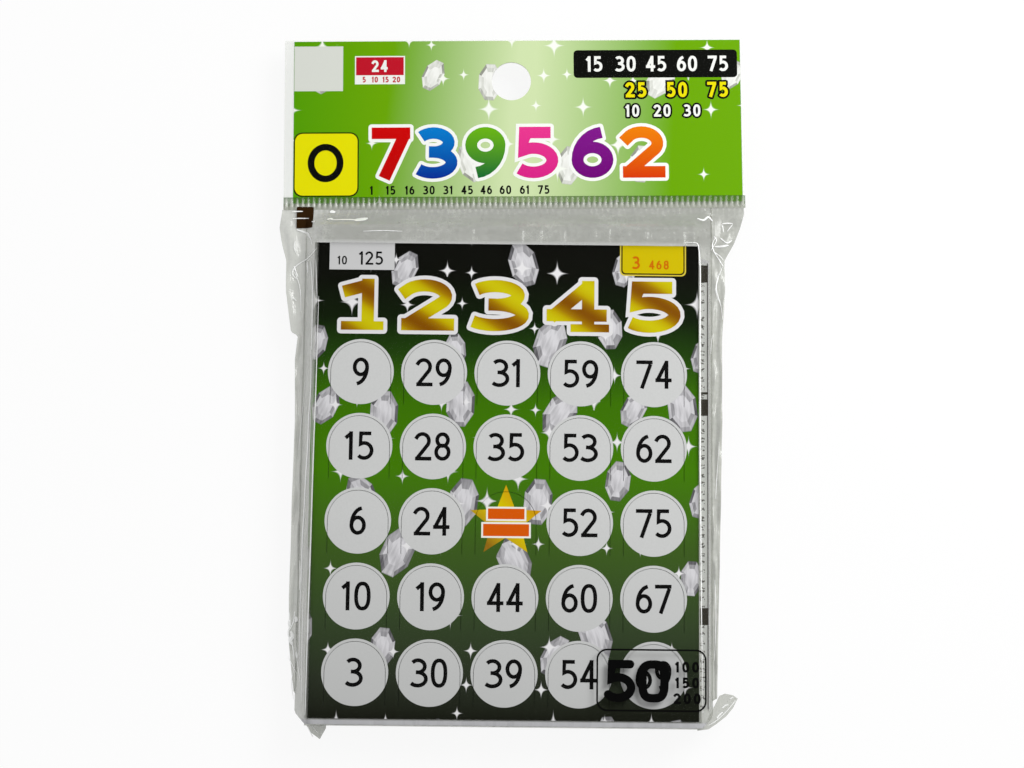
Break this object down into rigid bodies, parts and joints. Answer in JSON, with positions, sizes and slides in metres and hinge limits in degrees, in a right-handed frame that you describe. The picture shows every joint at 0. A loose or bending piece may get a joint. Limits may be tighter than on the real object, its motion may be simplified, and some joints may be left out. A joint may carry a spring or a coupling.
{
  "type": "bingo card pack",
  "caption": "Stack of printed, die-cut bingo cards sealed in a clear film bag with a crimped seal and a header card that has a round hang hole.",
  "frame": {"origin": "under the middle of the pack's bounding box, on the surface that its back lies on", "axes": "+X to the right and +Y up towards the header as the cards are read, +Z out of the cards' face"},
  "size_m": [0.118, 0.1786, 0.0145],
  "materials": {
    "film": "clear thin film",
    "header_print": "printed board",
    "card_print": "printed card, smooth",
    "window_print": "printed card, smooth",
    "card_stock": "uncoated card edge",
    "leaf_paper": "matt paper",
    "adhesive": "clear adhesive"
  },
  "bodies": {
    "bag": {"bag_front_film": "film", "bag_back_film": "film", "left_side_seam": "film", "right_side_seam": "film"},
    "header": {"header_card": "header_print", "header_front_film": "film", "header_back_film": "film", "rib_seal": "film"},
    "closure_wall": {"closure_wall": "film", "left_ear": "film", "right_ear": "film"},
    "closure_flap": {"closure_flap": "film", "adhesive_strip": "adhesive"},
    "stack": {"insert_leaf": "leaf_paper", "front_card": "card_print", "card_02": "card_stock", "card_03": "card_stock", "card_04": "card_stock", "card_05": "card_stock", "card_06": "card_stock", "card_07": "card_stock", "card_08": "card_stock", "card_09": "card_stock", "card_10": "card_stock", "lower_cards": "card_stock"},
    "window_r1c1": {"window_r1c1": "window_print"},
    "window_r1c2": {"window_r1c2": "window_print"},
    "window_r1c3": {"window_r1c3": "window_print"},
    "window_r1c4": {"window_r1c4": "window_print"},
    "window_r1c5": {"window_r1c5": "window_print"},
    "window_r2c1": {"window_r2c1": "window_print"},
    "window_r2c2": {"window_r2c2": "window_print"},
    "window_r2c3": {"window_r2c3": "window_print"},
    "window_r2c4": {"window_r2c4": "window_print"},
    "window_r2c5": {"window_r2c5": "window_print"},
    "window_r3c1": {"window_r3c1": "window_print"},
    "window_r3c2": {"window_r3c2": "window_print"},
    "window_r3c3": {"window_r3c3": "window_print"},
    "window_r3c4": {"window_r3c4": "window_print"},
    "window_r3c5": {"window_r3c5": "window_print"},
    "window_r4c1": {"window_r4c1": "window_print"},
    "window_r4c2": {"window_r4c2": "window_print"},
    "window_r4c3": {"window_r4c3": "window_print"},
    "window_r4c4": {"window_r4c4": "window_print"},
    "window_r4c5": {"window_r4c5": "window_print"},
    "window_r5c1": {"window_r5c1": "window_print"},
    "window_r5c2": {"window_r5c2": "window_print"},
    "window_r5c3": {"window_r5c3": "window_print"},
    "window_r5c4": {"window_r5c4": "window_print"},
    "window_r5c5": {"window_r5c5": "window_print"}
  },
  "joints": [
    {"name": "header_bend", "type": "hinge", "parent": "bag", "child": "header", "pos_m": [0.00047, 0.04409, 0.00725], "axis": [0.9999, 0.0157, 0], "range_deg": [-80, 90], "stiffness_Nm_per_rad": 0.03},
    {"name": "closure_wall_fold", "type": "hinge", "parent": "bag", "child": "closure_wall", "pos_m": [-0.00083, -0.08591, 0.0145], "axis": [-1, 0, 0], "range_deg": [0, 90]},
    {"name": "closure_flap_fold", "type": "hinge", "parent": "closure_wall", "child": "closure_flap", "pos_m": [-0.00083, -0.08591, 0.0001], "axis": [-1, 0, 0], "range_deg": [0, 150]},
    {"name": "stack_slide", "type": "slide", "parent": "bag", "child": "stack", "axis": [0, 1, 0], "range_m": [-0.0008, 0.0025]},
    {"name": "window_r1c1_fold", "type": "hinge", "parent": "stack", "child": "window_r1c1", "pos_m": [-0.03723, -0.00711, 0.0128], "axis": [1, 0, 0], "range_deg": [0, 4.5]},
    {"name": "window_r1c2_fold", "type": "hinge", "parent": "stack", "child": "window_r1c2", "pos_m": [-0.01903, -0.00711, 0.0128], "axis": [1, 0, 0], "range_deg": [0, 4.5]},
    {"name": "window_r1c3_fold", "type": "hinge", "parent": "stack", "child": "window_r1c3", "pos_m": [-0.00083, -0.00711, 0.0128], "axis": [1, 0, 0], "range_deg": [0, 4.5]},
    {"name": "window_r1c4_fold", "type": "hinge", "parent": "stack", "child": "window_r1c4", "pos_m": [0.01737, -0.00711, 0.0128], "axis": [1, 0, 0], "range_deg": [0, 4.5]},
    {"name": "window_r1c5_fold", "type": "hinge", "parent": "stack", "child": "window_r1c5", "pos_m": [0.03557, -0.00711, 0.0128], "axis": [1, 0, 0], "range_deg": [0, 4.5]},
    {"name": "window_r2c1_fold", "type": "hinge", "parent": "stack", "child": "window_r2c1", "pos_m": [-0.03723, -0.02566, 0.0128], "axis": [1, 0, 0], "range_deg": [0, 4.5]},
    {"name": "window_r2c2_fold", "type": "hinge", "parent": "stack", "child": "window_r2c2", "pos_m": [-0.01903, -0.02566, 0.0128], "axis": [1, 0, 0], "range_deg": [0, 4.5]},
    {"name": "window_r2c3_fold", "type": "hinge", "parent": "stack", "child": "window_r2c3", "pos_m": [-0.00083, -0.02566, 0.0128], "axis": [1, 0, 0], "range_deg": [0, 4.5]},
    {"name": "window_r2c4_fold", "type": "hinge", "parent": "stack", "child": "window_r2c4", "pos_m": [0.01737, -0.02566, 0.0128], "axis": [1, 0, 0], "range_deg": [0, 4.5]},
    {"name": "window_r2c5_fold", "type": "hinge", "parent": "stack", "child": "window_r2c5", "pos_m": [0.03557, -0.02566, 0.0128], "axis": [1, 0, 0], "range_deg": [0, 4.5]},
    {"name": "window_r3c1_fold", "type": "hinge", "parent": "stack", "child": "window_r3c1", "pos_m": [-0.03723, -0.04421, 0.0128], "axis": [1, 0, 0], "range_deg": [0, 4.5]},
    {"name": "window_r3c2_fold", "type": "hinge", "parent": "stack", "child": "window_r3c2", "pos_m": [-0.01903, -0.04421, 0.0128], "axis": [1, 0, 0], "range_deg": [0, 4.5]},
    {"name": "window_r3c3_fold", "type": "hinge", "parent": "stack", "child": "window_r3c3", "pos_m": [-0.00083, -0.04421, 0.0128], "axis": [1, 0, 0], "range_deg": [0, 4.5]},
    {"name": "window_r3c4_fold", "type": "hinge", "parent": "stack", "child": "window_r3c4", "pos_m": [0.01737, -0.04421, 0.0128], "axis": [1, 0, 0], "range_deg": [0, 4.5]},
    {"name": "window_r3c5_fold", "type": "hinge", "parent": "stack", "child": "window_r3c5", "pos_m": [0.03557, -0.04421, 0.0128], "axis": [1, 0, 0], "range_deg": [0, 4.5]},
    {"name": "window_r4c1_fold", "type": "hinge", "parent": "stack", "child": "window_r4c1", "pos_m": [-0.03723, -0.06276, 0.0128], "axis": [1, 0, 0], "range_deg": [0, 4.5]},
    {"name": "window_r4c2_fold", "type": "hinge", "parent": "stack", "child": "window_r4c2", "pos_m": [-0.01903, -0.06276, 0.0128], "axis": [1, 0, 0], "range_deg": [0, 4.5]},
    {"name": "window_r4c3_fold", "type": "hinge", "parent": "stack", "child": "window_r4c3", "pos_m": [-0.00083, -0.06276, 0.0128], "axis": [1, 0, 0], "range_deg": [0, 4.5]},
    {"name": "window_r4c4_fold", "type": "hinge", "parent": "stack", "child": "window_r4c4", "pos_m": [0.01737, -0.06276, 0.0128], "axis": [1, 0, 0], "range_deg": [0, 4.5]},
    {"name": "window_r4c5_fold", "type": "hinge", "parent": "stack", "child": "window_r4c5", "pos_m": [0.03557, -0.06276, 0.0128], "axis": [1, 0, 0], "range_deg": [0, 4.5]},
    {"name": "window_r5c1_fold", "type": "hinge", "parent": "stack", "child": "window_r5c1", "pos_m": [-0.03723, -0.08131, 0.0128], "axis": [1, 0, 0], "range_deg": [0, 4.5]},
    {"name": "window_r5c2_fold", "type": "hinge", "parent": "stack", "child": "window_r5c2", "pos_m": [-0.01903, -0.08131, 0.0128], "axis": [1, 0, 0], "range_deg": [0, 4.5]},
    {"name": "window_r5c3_fold", "type": "hinge", "parent": "stack", "child": "window_r5c3", "pos_m": [-0.00083, -0.08131, 0.0128], "axis": [1, 0, 0], "range_deg": [0, 4.5]},
    {"name": "window_r5c4_fold", "type": "hinge", "parent": "stack", "child": "window_r5c4", "pos_m": [0.01737, -0.08131, 0.0128], "axis": [1, 0, 0], "range_deg": [0, 4.5]},
    {"name": "window_r5c5_fold", "type": "hinge", "parent": "stack", "child": "window_r5c5", "pos_m": [0.03557, -0.08131, 0.0128], "axis": [1, 0, 0], "range_deg": [0, 4.5]}
  ]
}
